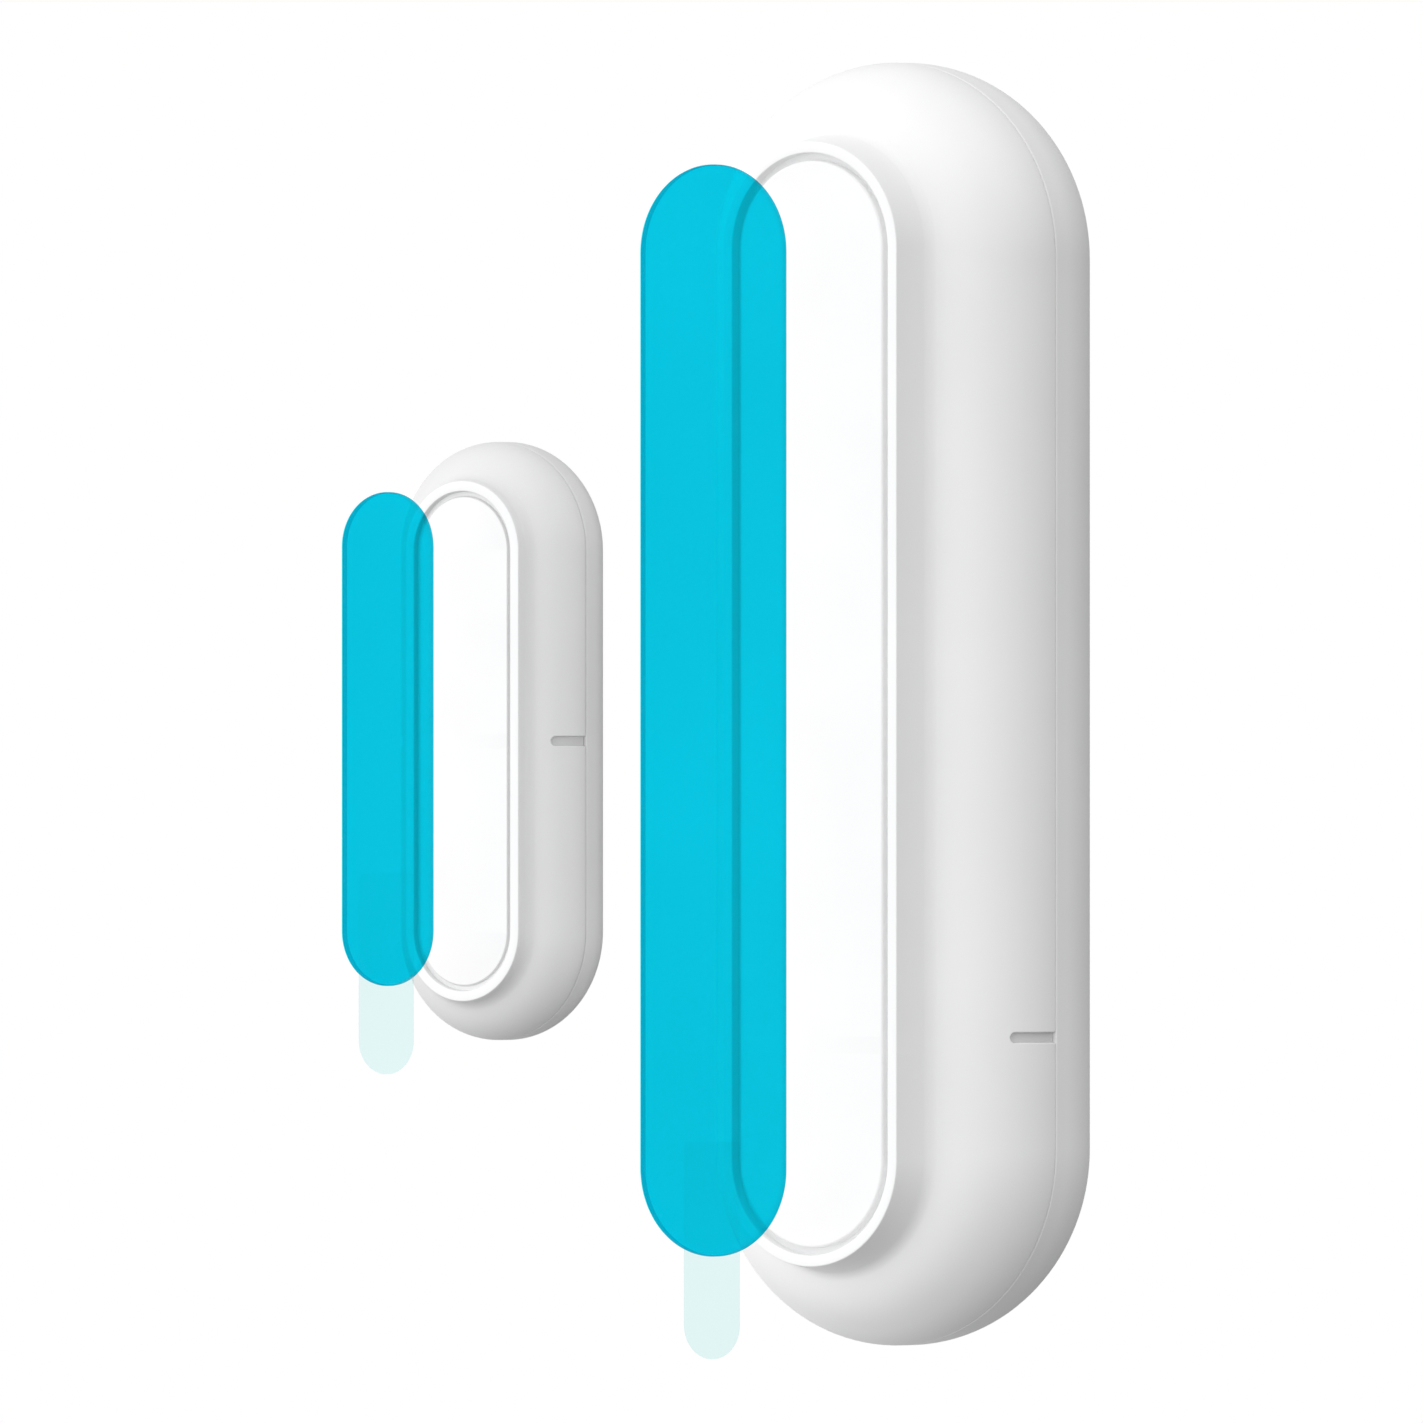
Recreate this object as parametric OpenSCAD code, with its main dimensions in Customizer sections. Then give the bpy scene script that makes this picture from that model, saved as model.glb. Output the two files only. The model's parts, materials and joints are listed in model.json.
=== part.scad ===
// Two-piece magnetic door contact: a long sensor housing and a short magnet unit,
// each shown with its pull-tab adhesive strip floating off its back.
//
// Each unit is drawn lying on its back: x runs across it, y along it, and z is the
// depth from the adhesive landing pad towards the front. stand() then turns it up,
// so that the back faces +Y, the front faces -Y and the length runs along Z.
// The origin is the centre of the sensor's landing pad.

/* [Sensor housing] */
// Overall length
sensor_l = 90; // [86:0.5:96]
// Overall width
sensor_w = 27.6; // [27:0.1:29]
// Depth from the landing pad to the front face
sensor_d = 20; // [19.9:0.1:22]
// Depth of the joint between back shell and front cover
sensor_split = 10.1; // [9.9:0.05:10.3]
// Radius of the rounded front edge
sensor_front_r = 8.5; // [7.5:0.1:8.8]
// Wall thickness
sensor_wall = 1.5; // [1.4:0.05:1.6]

/* [Magnet unit] */
// Overall length
magnet_l = 42.2; // [41:0.1:46]
// Overall width
magnet_w = 15.4; // [15.2:0.1:16]
// Depth from the landing pad to the front face
magnet_d = 8; // [7.9:0.1:8.6]
// Depth of the joint between back shell and front cover
magnet_split = 4.1; // [4:0.05:4.2]
// Radius of the rounded front edge
magnet_front_r = 2.8; // [2.6:0.1:3]
// Wall thickness
magnet_wall = 1.1; // [1:0.05:1.2]
// Distance between the centre lines of the two units
unit_pitch = 30.2; // [28:0.1:40]
// How far the magnet unit's centre sits below the sensor's
magnet_drop = 2.6; // [0:0.1:20]

/* [Back recess] */
// How far the rim stands proud of the landing pad
rim_h = 0.2; // [0.15:0.05:0.25]
// Depth of the groove round the landing pad
moat_d = 0.3; // [0.2:0.05:0.4]
// Groove width on the sensor
sensor_moat_w = 0.54; // [0.4:0.02:0.6]
// Groove width on the magnet unit
magnet_moat_w = 0.36; // [0.3:0.02:0.4]

/* [Adhesive strips] */
// Whole thickness of a strip with its liner
strip_t = 0.6; // [0.55:0.01:0.7]
// Thickness of the release liner on the wall side
liner_t = 0.08; // [0.05:0.01:0.1]
// Thickness of the pull tab film
tab_t = 0.1; // [0.08:0.01:0.12]
// Width of the pull tabs
tab_w = 4.76; // [4:0.02:5]
// Gap from the sensor's rim to its strip's middle plane
sensor_strip_gap = 11.45; // [6:0.05:20]
// Gap from the magnet unit's rim to its strip's middle plane
magnet_strip_gap = 8.78; // [6:0.02:20]

/* [Hidden] */

$fn = 48;
arc_steps = 8;
seam = 0.05;                    // gap left along the joint of shell and cover

// sensor outline
sr = sensor_w/2;
sh = sensor_l/2 - sr;           // half of the straight length
s_rim_r = 7.47;                 // outer edge of the raised rim
s_rim_h = 31.85;                // its half straight length
s_recess_r = 6.69;
s_pad_r = s_recess_r - sensor_moat_w;
s_shoulder_r = 7.3;             // rounded back shoulder
s_fillet_r = 1.6;               // between the rim's wall and the shoulder
s_mark_z = -23.3;               // alignment mark, level with the reed switch
s_lip = [sr - 2.5, sr - 1.8, sr - 0.8];
s_lip_d = 1.2;

// magnet unit outline
mr = magnet_w/2;
mh = magnet_l/2 - mr;
m_rim_r = 4.95;
m_recess_r = 4.2;
m_pad_r = m_recess_r - magnet_moat_w;
m_shoulder_r = 3.3;
m_fillet_r = 1.2;
m_lip = [mr - 1.95, mr - 1.45, mr - 0.7];
m_lip_d = 0.8;

mark_w = 0.76;
mark_d = 0.4;

// circuit board and what stands on it
board_z = 8;
board_t = 1;
board_top = board_z + board_t;
board_r = 10;
board_end = 4.2;
chassis_z = 6;
chassis_t = 1.2;
chassis_r = 10.3;
screw_y = [0.5, -36.5];
screw_r = 0.95;
reed_x = 7.4;
reed_z = board_top + 1.7;
reed_l = 14;
led_at = [3.2, -29.5];
switch_at = [-4, -29.5];

// battery, a 15.6 x 27 mm lithium cell
cell_r = 7.8;
cell_l = 27;
cell_y = 7.4;
cell_z = 10.1;
nub_l = 0.6;
sleeve_t = 0.1;

// strips
s_strip_h = 31.88;              // half straight length
s_strip_r = s_pad_r - 0.03;
s_strip_y = -0.45;
s_tab_end = -45.6;
m_strip_h = 13.5;
m_strip_r = m_pad_r;
m_strip_y = 0.15;
m_tab_end = -23.4;
tab_grip = 8;                   // length of tab held inside the strip

// ---- shared shapes ---------------------------------------------------------

function arc(cx, cy, r, a0, a1, n = arc_steps) =
    [for (i = [0:n]) let (a = a0 + (a1 - a0)*i/n) [cx + r*cos(a), cy + r*sin(a)]];

module stand() rotate([90, 0, 0]) children();

module at_magnet() translate([unit_pitch, 0, -magnet_drop]) stand() children();

// Sweeps a half profile, drawn as [distance from centre line, depth], round a
// pill whose straight sides are 2*h long.
module pill(h) {
    for (end = [0, 180])
        rotate([0, 0, end]) translate([0, h, 0])
            rotate_extrude(angle = 180, $fn = 72) children();
    for (side = [0, 1])
        mirror([side, 0, 0]) rotate([90, 0, 0])
            linear_extrude(2*h, center = true) children();
}

// A flat pill-shaped plate from depth z0 to z1.
module plate(r, h, z0, z1) pill(h) translate([0, z0]) square([r, z1 - z0]);

module post(x, y, r, z0, z1) translate([x, y, z0]) cylinder(h = z1 - z0, r = r);

module block(x, y, z, size) translate([x - size[0]/2, y - size[1]/2, z]) cube(size);

// Depth at which the fillet's centre lies, so that it touches wall and shoulder.
function fillet_depth(rim_r, r, shoulder_w, shoulder_z, shoulder_r) =
    shoulder_z - sqrt(pow(shoulder_r + r, 2) - pow(rim_r + r - shoulder_w, 2));

// Half profile of a back shell's outside, from the rim's wall to the joint.
module back_profile(rim_r, fillet_r, r, split, shoulder_r) {
    sw = r - shoulder_r;
    fz = fillet_depth(rim_r, fillet_r, sw, split, shoulder_r);
    meet = atan2(split - fz, rim_r + fillet_r - sw);
    polygon(concat(
        [[0, -rim_h], [rim_r, -rim_h]],
        arc(rim_r + fillet_r, fz, fillet_r, 180, 180 - meet, 5),
        arc(sw, split, shoulder_r, -meet, 0),
        [[0, split]]));
}

module front_profile(r, edge_r, split, depth)
    polygon(concat([[0, split], [r, split]],
        arc(r - edge_r, depth - edge_r, edge_r, 0, 90), [[0, depth]]));

// Half profile of the hollow behind the joint.
module back_hollow(rim_r, r, split, shoulder_r, wall)
    polygon(concat(
        [[0, wall + 0.1], [rim_r - wall, wall + 0.1],
         [rim_r - wall, split - shoulder_r + wall],
         [r - shoulder_r, split - shoulder_r + wall]],
        arc(r - shoulder_r, split, shoulder_r - wall, -75, 0, 7),
        [[r - wall, split + 1], [0, split + 1]]));

module front_hollow(r, edge_r, split, depth, wall)
    polygon(concat([[0, split - 1], [r - wall, split - 1]],
        arc(r - edge_r, depth - edge_r, edge_r - wall, 0, 90), [[0, depth - wall]]));

// Groove round the landing pad, and the pad's own step below the rim.
module recess(recess_r, pad_r, h) {
    plate(recess_r, h, -1, 0);
    difference() {
        plate(recess_r, h, -0.5, moat_d);
        plate(pad_r, h, -1, moat_d + 1);
    }
}

// Round-ended alignment mark, sunk a constant depth into both flanks.
module side_mark(y, r, split, shoulder_r, from_z)
    intersection() {
        for (side = [-1, 1])
            translate([side*r, y, 0]) rotate([0, 90, 0]) {
                linear_extrude(shoulder_r*1.4, center = true) {
                    translate([-from_z - mark_w/2, 0]) circle(d = mark_w);
                    translate([-split - 1, -mark_w/2])
                        square([split + 1 - from_z - mark_w/2, mark_w]);
                }
            }
        translate([0, y, 0]) rotate([90, 0, 0]) linear_extrude(2, center = true)
            difference() {
                square([2*r + 2, 2*split + 4], center = true);
                for (side = [0, 1]) mirror([side, 0])
                    polygon(concat([[-1, 0]],
                        arc(r - shoulder_r, split, shoulder_r - mark_d, -80, 0),
                        [[r - mark_d, split + 3], [-1, split + 3]]));
            }
    }

// Locating lip inside a front cover; lip holds its inner, outer and root distances.
module cover_lip(h, lip, lip_d, split, top)
    pill(h) polygon([
        [lip[0], split - lip_d], [lip[1], split - lip_d], [lip[1], split + seam],
        [lip[2], split + seam], [lip[2], top], [lip[0], top]]);

// ---- sensor housing --------------------------------------------------------

module sensor_back_shell() color("whitesmoke") stand()
    difference() {
        union() {
            difference() {
                union() {
                    pill(sh) back_profile(s_rim_r, s_fillet_r, sr, sensor_split,
                        s_shoulder_r);
                    plate(s_rim_r, s_rim_h, -rim_h, 2.6);
                }
                pill(sh) back_hollow(s_rim_r, sr, sensor_split, s_shoulder_r,
                    sensor_wall);
            }
            for (y = screw_y) post(0, y, 2.2, sensor_wall, chassis_z);
        }
        recess(s_recess_r, s_pad_r, s_rim_h);
        side_mark(s_mark_z, sr, sensor_split, s_shoulder_r, 6.2);
        for (y = screw_y) post(0, y, screw_r + 0.05, 2.2, chassis_z + 1);
    }

module sensor_front_cover() color("white") stand()
    difference() {
        union() {
            difference() {
                pill(sh) front_profile(sr, sensor_front_r, sensor_split + seam,
                    sensor_d);
                pill(sh) front_hollow(sr, sensor_front_r, sensor_split, sensor_d,
                    sensor_wall);
            }
            cover_lip(sh, s_lip, s_lip_d, sensor_split, sensor_d - sensor_front_r);
        }
        post(led_at[0], led_at[1], 1.05, sensor_d - 3, sensor_d + 1);
    }

// Carrier that stands on the back shell's floor and holds the cell and the board.
module inner_chassis() color("lightgray") stand()
    difference() {
        union() {
            plate(chassis_r, sh, chassis_z, chassis_z + chassis_t);
            for (x = [-7.5, 7.5], y = [-31, -12])
                post(x, y, 1.2, chassis_z, board_z - 0.02);
            for (y = screw_y) post(0, y, 2.4, chassis_z, board_z - 0.02);
            for (x = [-4.2, 4.2], y = [-30, -7])
                post(x, y, 1.3, sensor_wall + 0.12, chassis_z + 0.5);
            for (y = [5.1, 36]) block(0, y, chassis_z, [14, 1, 9.5]);
        }
        block(0, 20.55, chassis_z - 1, [16.2, 29.9, 4]);
        for (y = screw_y) post(0, y, screw_r + 0.1, chassis_z - 1, board_z + 1);
        for (x = [-5, 5]) block(x, -21, chassis_z - 1, [4, 12, 4]);
    }

// Two pan head screws with cross recesses, through board and chassis.
module board_screws() color("silver") stand()
    for (y = screw_y) difference() {
        union() {
            post(0, y, screw_r, 2.6, board_top + 0.1);
            post(0, y, 1.8, board_top + 0.02, board_top + 1.1);
        }
        for (turn = [0, 90])
            translate([0, y, board_top + 1.1]) rotate([0, 0, turn])
                cube([2, 0.4, 1.2], center = true);
    }

module circuit_board() color("darkgreen") stand()
    difference() {
        union() {
            translate([0, -sh, board_z]) cylinder(h = board_t, r = board_r, $fn = 72);
            block(0, (board_end - sh)/2, board_z, [2*board_r, board_end + sh, board_t]);
        }
        for (y = screw_y) post(0, y, screw_r + 0.15, board_z - 1, board_top + 1);
    }

// ---- battery ---------------------------------------------------------------

module along(y0, y1, r, z) translate([0, y1, z]) rotate([90, 0, 0])
    cylinder(h = y1 - y0, r = r);

module battery_can() color("silver") stand() {
    along(cell_y, cell_y + cell_l - nub_l, cell_r - sleeve_t - 0.01, cell_z);
    along(cell_y + cell_l - nub_l - 0.1, cell_y + cell_l, 2.4, cell_z);
}

module battery_sleeve() color("steelblue") stand()
    difference() {
        along(cell_y + 0.4, cell_y + cell_l - nub_l - 0.4, cell_r, cell_z);
        along(cell_y, cell_y + cell_l, cell_r - sleeve_t, cell_z);
    }

// Conical negative spring: three closed turns on a round foot.
module battery_spring() color("gold") stand()
    translate([0, 5.62, cell_z]) rotate([-90, 0, 0]) {
        cylinder(h = 0.3, r = 3.6);
        for (i = [0:2])
            translate([0, 0, 0.5 + 0.45*i])
                rotate_extrude() translate([3.2 - 0.36*i, 0]) circle(r = 0.3, $fn = 16);
    }

// Positive plate, folded over the top of the chassis wall behind it.
module battery_contact() color("gold") stand() {
    block(0, cell_y + cell_l + 0.25, cell_z - 3.5, [7, 0.4, 9.3]);
    block(0, cell_y + cell_l + 1.3, cell_z + 5.5, [3, 2.5, 0.3]);
}

// ---- reed switch, level with the alignment mark ----------------------------

module at_reed() stand() translate([reed_x, s_mark_z, reed_z]) children();

module rod(y0, y1, r) translate([0, y1, 0]) rotate([90, 0, 0])
    cylinder(h = y1 - y0, r = r);

module reed_glass() color("lightcyan", 0.5) at_reed()
    difference() {
        rod(-reed_l/2, reed_l/2, 1.15);
        rod(-reed_l/2 + 1.5, reed_l/2 - 1.5, 0.85);
        rod(-reed_l, reed_l, 0.29);
    }

// Wire from inside the glass seal, out and down to the board.
module reed_wire(side) {
    y0 = reed_l/2 - 1.62;
    y1 = reed_l/2 + 1.8;
    mirror([0, side < 0 ? 1 : 0, 0]) {
        rod(y0, y1, 0.26);
        translate([0, y1 - 0.26, board_top - reed_z + 0.01])
            cylinder(h = reed_z - board_top, r = 0.26);
    }
}

module reed_fixed_blade() color("silver") at_reed() {
    reed_wire(-1);
    translate([-0.35, -reed_l/2 + 1.6, -0.15]) cube([0.7, 6, 0.12]);
    rod(-reed_l/2 + 1.4, -reed_l/2 + 1.8, 0.26);
}

module reed_lead() color("silver") at_reed() reed_wire(1);

module reed_moving_blade() color("silver") at_reed()
    translate([-0.35, -0.6, 0]) cube([0.7, reed_l/2 - 1.05, 0.12]);

// ---- board components ------------------------------------------------------

module radio_shield() color("silver") stand()
    difference() {
        block(-3, -9, board_top + 0.01, [12.5, 13, 2]);
        block(-3, -9, board_top - 1, [12.1, 12.6, 2.8]);
        for (x = [-7.2, -4.4, -1.6, 1.2]) post(x, -13, 0.5, board_top, board_top + 3);
    }

module processor_chip() color("black") stand()
    difference() {
        block(-4, -20.5, board_top + 0.01, [6, 6, 0.9]);
        post(-6.2, -18.3, 0.35, board_top + 0.8, board_top + 2);
    }

module crystal() color("silver") stand()
    block(2.2, -20.5, board_top + 0.01, [2.5, 3.2, 0.8]);

// Folded strip antenna on two feet, round the lower end of the board.
module stamped_antenna() color("gold") stand() {
    block(0, -39.4, board_top + 2.6, [10, 1.2, 0.3]);
    for (x = [-4.6, 4.6]) block(x, -39.4, board_top + 0.01, [0.8, 1.2, 2.7]);
}

module capacitors() color("tan") stand()
    for (y = [-26, -23.4, -17, -14.4])
        block(4.6, y, board_top + 0.01, [0.8, 1.6, 0.8]);

module resistors() color("dimgray") stand() {
    for (y = [-25, -22.8, -17.4]) block(0.2, y, board_top + 0.01, [0.5, 1, 0.35]);
    for (x = [-7.6, -5.8, -4]) block(x, 0.8, board_top + 0.01, [1, 0.5, 0.35]);
}

module status_led() color("honeydew") stand()
    block(led_at[0], led_at[1], board_top + 0.01, [0.8, 1.6, 0.7]);

module light_pipe() color("white", 0.6) stand() {
    post(led_at[0], led_at[1], 1, board_top + 1.6, sensor_d);
    post(led_at[0], led_at[1], 1.7, sensor_d - sensor_wall - 0.8,
        sensor_d - sensor_wall - 0.02);
}

module setup_switch() color("dimgray") stand()
    difference() {
        block(switch_at[0], switch_at[1], board_top + 0.01, [6, 6, 3.2]);
        post(switch_at[0], switch_at[1], 1.75, board_top + 1.8, board_top + 5);
    }

module setup_plunger() color("black") stand()
    post(switch_at[0], switch_at[1], 1.7, board_top + 2.2, board_top + 4.3);

// ---- adhesive strips -------------------------------------------------------
// Each strip is drawn in its unit's own frame, so its depth is negative.

module strip(r, h, y, gap, tab_end) {
    mid = -rim_h - gap;
    difference() {
        translate([0, y, 0]) plate(r, h, mid - strip_t/2 + liner_t, mid + strip_t/2);
        tab_body(r, h, y, gap, tab_end, 0.01);
    }
}

module tab_body(r, h, y, gap, tab_end, extra) {
    z0 = -rim_h - gap - strip_t/2 + liner_t;
    top = y - h - r + tab_grip;
    half_w = tab_w/2 + extra;
    translate([0, tab_end + tab_w/2, z0 - extra])
        cylinder(h = tab_t + 2*extra, r = half_w);
    translate([-half_w, tab_end + tab_w/2, z0 - extra])
        cube([2*half_w, top - tab_end - tab_w/2 + extra, tab_t + 2*extra]);
}

module liner(r, h, y, gap) {
    z0 = -rim_h - gap - strip_t/2;
    translate([0, y, 0]) plate(r, h, z0, z0 + liner_t - 0.01);
}

module sensor_strip() color("deepskyblue", 0.8) stand()
    strip(s_strip_r, s_strip_h, s_strip_y, sensor_strip_gap, s_tab_end);

module sensor_pull_tab() color("mintcream") stand()
    tab_body(s_strip_r, s_strip_h, s_strip_y, sensor_strip_gap, s_tab_end, 0);

module sensor_liner() color("cyan", 0.6) stand()
    liner(s_strip_r, s_strip_h, s_strip_y, sensor_strip_gap);

module magnet_strip() color("deepskyblue", 0.8) at_magnet()
    strip(m_strip_r, m_strip_h, m_strip_y, magnet_strip_gap, m_tab_end);

module magnet_pull_tab() color("mintcream") at_magnet()
    tab_body(m_strip_r, m_strip_h, m_strip_y, magnet_strip_gap, m_tab_end, 0);

module magnet_liner() color("cyan", 0.6) at_magnet()
    liner(m_strip_r, m_strip_h, m_strip_y, magnet_strip_gap);

// ---- magnet unit -----------------------------------------------------------

module magnet_back_shell() color("whitesmoke") at_magnet()
    difference() {
        pill(mh) back_profile(m_rim_r, m_fillet_r, mr, magnet_split, m_shoulder_r);
        pill(mh) back_hollow(m_rim_r, mr, magnet_split, m_shoulder_r, magnet_wall);
        recess(m_recess_r, m_pad_r, mh);
        side_mark(0, mr, magnet_split, m_shoulder_r, 1.5);
    }

module magnet_front_cover() color("white") at_magnet() {
    difference() {
        pill(mh) front_profile(mr, magnet_front_r, magnet_split + seam, magnet_d);
        pill(mh) front_hollow(mr, magnet_front_r, magnet_split, magnet_d, magnet_wall);
    }
    cover_lip(mh, m_lip, m_lip_d, magnet_split, magnet_d - magnet_front_r);
}

// Tray that stands on the shell's floor and keeps the magnet centred.
module magnet_cradle() color("lightgray") at_magnet()
    difference() {
        union() {
            block(0, 0, magnet_wall + 0.12, [5, 20, 1.3]);
            plate(4.7, mh, 2.1, 2.6);
            block(0, 0, 2.1, [7, 26.2, 2.6]);
        }
        block(0, 0, 2.6, [5.1, 24.1, 4]);
    }

module bar_magnet() color("silver") at_magnet() block(0, 0, 2.62, [5, 24, 3]);

module magnet_foam() color("dimgray") at_magnet() block(0, 0, 5.64, [4.6, 20, 1.2]);

sensor_back_shell();
sensor_front_cover();
inner_chassis();
board_screws();
circuit_board();
battery_can();
battery_sleeve();
battery_spring();
battery_contact();
reed_glass();
reed_fixed_blade();
reed_lead();
reed_moving_blade();
radio_shield();
processor_chip();
crystal();
stamped_antenna();
capacitors();
resistors();
status_led();
light_pipe();
setup_switch();
setup_plunger();
sensor_strip();
sensor_pull_tab();
sensor_liner();
magnet_back_shell();
magnet_front_cover();
magnet_cradle();
bar_magnet();
magnet_foam();
magnet_strip();
magnet_pull_tab();
magnet_liner();
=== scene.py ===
"""Door contact sensor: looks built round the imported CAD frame.

The two housings, their covers and the adhesive strips are swept meshes that replace
their CAD nodes. The parts inside keep their CAD shape and get materials and edges.
Sizes below are in millimetres; places come from the frame.
"""
import bpy
import bmesh
import json
import math
import numpy as np
from mathutils import Matrix, Vector


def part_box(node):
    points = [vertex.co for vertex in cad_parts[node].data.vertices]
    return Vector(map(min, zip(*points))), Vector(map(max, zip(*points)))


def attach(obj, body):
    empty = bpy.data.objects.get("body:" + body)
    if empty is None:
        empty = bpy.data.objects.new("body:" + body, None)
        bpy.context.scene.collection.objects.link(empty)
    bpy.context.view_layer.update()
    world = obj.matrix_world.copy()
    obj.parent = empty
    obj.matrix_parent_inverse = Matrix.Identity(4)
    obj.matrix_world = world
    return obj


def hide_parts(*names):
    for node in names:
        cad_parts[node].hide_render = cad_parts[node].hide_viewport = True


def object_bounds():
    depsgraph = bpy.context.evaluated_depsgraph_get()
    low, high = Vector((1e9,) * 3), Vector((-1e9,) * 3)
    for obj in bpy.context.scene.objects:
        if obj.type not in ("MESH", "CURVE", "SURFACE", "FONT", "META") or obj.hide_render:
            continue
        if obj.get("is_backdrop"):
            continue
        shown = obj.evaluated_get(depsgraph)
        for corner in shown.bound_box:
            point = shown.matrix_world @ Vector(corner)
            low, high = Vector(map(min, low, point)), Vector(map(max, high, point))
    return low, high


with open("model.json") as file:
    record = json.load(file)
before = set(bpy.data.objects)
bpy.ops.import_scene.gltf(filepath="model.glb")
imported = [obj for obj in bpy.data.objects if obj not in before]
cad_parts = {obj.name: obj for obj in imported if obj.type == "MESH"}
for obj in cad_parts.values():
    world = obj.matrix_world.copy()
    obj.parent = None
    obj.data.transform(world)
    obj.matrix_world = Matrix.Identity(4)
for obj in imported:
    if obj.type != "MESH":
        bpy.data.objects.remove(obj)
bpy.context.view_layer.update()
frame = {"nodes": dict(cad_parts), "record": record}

MM = 0.001


# ---- sizes that the frame's boxes don't say ---------------------------------
# rim: the raised ring round the pad; rim_h: half the straight stretch of both.
# moat: depth of the groove between pad and rim. draft: slope of the rim's outer wall.
# fillet: the concave foot of that wall. lip: the cover's locating lip, from and to.
# mark: the line pressed into each flank; its length runs from the parting line.

SENSOR = dict(
    back="sensor_back_shell", front="sensor_front_cover", pad="sensor_landing_pad",
    rim_r=7.47, rim_h=31.85, recess_r=6.69, pad_r=6.15, pad_edge=0.2, moat=0.65,
    shoulder_r=7.3, fillet_r=1.0, draft=10, front_r=8.5, wall=1.5,
    lip=(11.3, 12.0), mark_z=-23.3, mark_w=0.74, mark_len=4.1, mark_d=0.3)

MAGNET = dict(
    back="magnet_back_shell", front="magnet_front_cover", pad="magnet_landing_pad",
    rim_r=4.95, rim_h=13.4, recess_r=4.2, pad_r=3.84, pad_edge=0.12, moat=0.24,
    shoulder_r=3.3, fillet_r=1.0, draft=8, front_r=2.8, wall=1.1,
    lip=(5.75, 6.25), mark_z=0.0, mark_w=0.7, mark_len=2.9, mark_d=0.25)

SEAM_EDGE = 0.13          # rounding of the edges along the parting line
SEAM_GAP = 0.05           # between the back shell and its cover
RIM_EDGE = 0.07           # rounding of the rim's inner edge
RIM_OUTER_EDGE = 0.1
ENDS_SHARE = 0.65         # share of the flank over which the ends grow to full length
GROOVE_EDGE = 0.08        # rounding of the groove's bottom corners
LIP_EDGE = 0.15           # rounding of the cover's locating lip
INNER_FLOOR = 0.1         # what the pad's floor has over the wall's thickness
MARK_SOFT = 0.03          # half width of a side mark's walls
MARK_FLOOR = 0.45         # share of a mark's depth from which its floor takes the painted shade
HAIR = 0.001              # how far the housings stay inside their CAD boxes
MIDDLE = 0.02             # where a swept outline starts, beside its middle line
STRIP_EDGE = 0.1
LINER_EDGE = 0.03
LINER_INSET = 0.04
TAB_STANDOFF = 0.02       # what the tab's film gives up on its wall side
PAD_ZONE = 0.4            # depth down to which a back face keeps the plain white; the magnet's other faces have a painted shade grey
DRILL_LENGTH = 40
SHARP_ANGLE = 50          # degrees between faces from which an edge stays sharp
BEVEL_ANGLE = 40          # and from which an edge of a CAD piece is bevelled
FLAT = 0.9                # how much a face's normal has of +Y to count as a back face

STRAIGHT_STEPS = 27       # columns along each straight flank
CAP_STEPS = 64            # columns round each end
MARK_PITCH = 0.03         # between the columns across a side mark


# ---- mesh building ----------------------------------------------------------

def arc(cx, cy, r, a0, a1, n):
    """Points on an arc from angle a0 to a1, in degrees."""
    angles = np.radians(np.linspace(a0, a1, n + 1))
    return [(cx + r * math.cos(a), cy + r * math.sin(a)) for a in angles]


def rounded(corners, steps=4):
    """A polyline through corners (x, y, radius), each corner with its own rounding."""
    points = []
    for i, (x, y, r) in enumerate(corners):
        if r == 0 or i in (0, len(corners) - 1):
            points.append((x, y))
            continue
        here = Vector((x, y))
        before = (Vector(corners[i - 1][:2]) - here).normalized()
        after = (Vector(corners[i + 1][:2]) - here).normalized()
        half = before.angle(after) / 2
        centre = here + (before + after).normalized() * (r / math.sin(half))
        reach = r / math.tan(half)
        start, end = here + before * reach - centre, here + after * reach - centre
        turn = start.angle_signed(end)
        for k in range(steps + 1):
            p = centre + Matrix.Rotation(-turn * k / steps, 2) @ start
            points.append((p.x, p.y))
    return points


def loop_columns(dense_at=None, dense_half=0.0, half=1.0):
    """One turn round a pill: (cos, sin, share of the half straight) for each column,
    with more of them near dense_at, and how many lie on one flank."""
    shares = set(np.round(np.linspace(-1, 1, STRAIGHT_STEPS), 6))
    if dense_at is not None:
        near = np.arange(dense_at - dense_half, dense_at + dense_half, MARK_PITCH) / half
        shares |= set(np.round(near, 6))
    shares = sorted(shares)
    columns = [(1, 0, s) for s in shares]
    columns += [(math.cos(a), math.sin(a), 1)
                for a in np.linspace(0, math.pi, CAP_STEPS + 1)[1:-1]]
    columns += [(-1, 0, s) for s in reversed(shares)]
    columns += [(math.cos(a), math.sin(a), -1)
                for a in np.linspace(math.pi, 2 * math.pi, CAP_STEPS + 1)[1:-1]]
    return np.array(columns), len(shares)


def ladder(row_start, count, side_count, cap_count):
    """Faces across a pill-shaped ring, rung by rung between its two flanks."""
    right = list(range(side_count)) + [side_count + i for i in range(cap_count // 2)]
    left_first = side_count + cap_count
    left = [left_first + side_count - 1 - i for i in range(side_count)]
    left += [side_count + cap_count - 1 - i for i in range(cap_count // 2)]
    tail = left_first + side_count
    low_right = [count - 1 - i for i in range(cap_count // 2)]
    low_left = [tail + i for i in range(cap_count // 2)]
    a = list(reversed(low_right)) + right
    b = list(reversed(low_left)) + left
    faces = [(row_start + a[i], row_start + a[i + 1], row_start + b[i + 1], row_start + b[i])
             for i in range(len(a) - 1)]
    tip_top = row_start + side_count + cap_count // 2
    tip_low = row_start + tail + cap_count // 2
    faces.append((row_start + a[-1], tip_top, row_start + b[-1]))
    faces.append((row_start + a[0], row_start + b[0], tip_low))
    return faces


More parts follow.
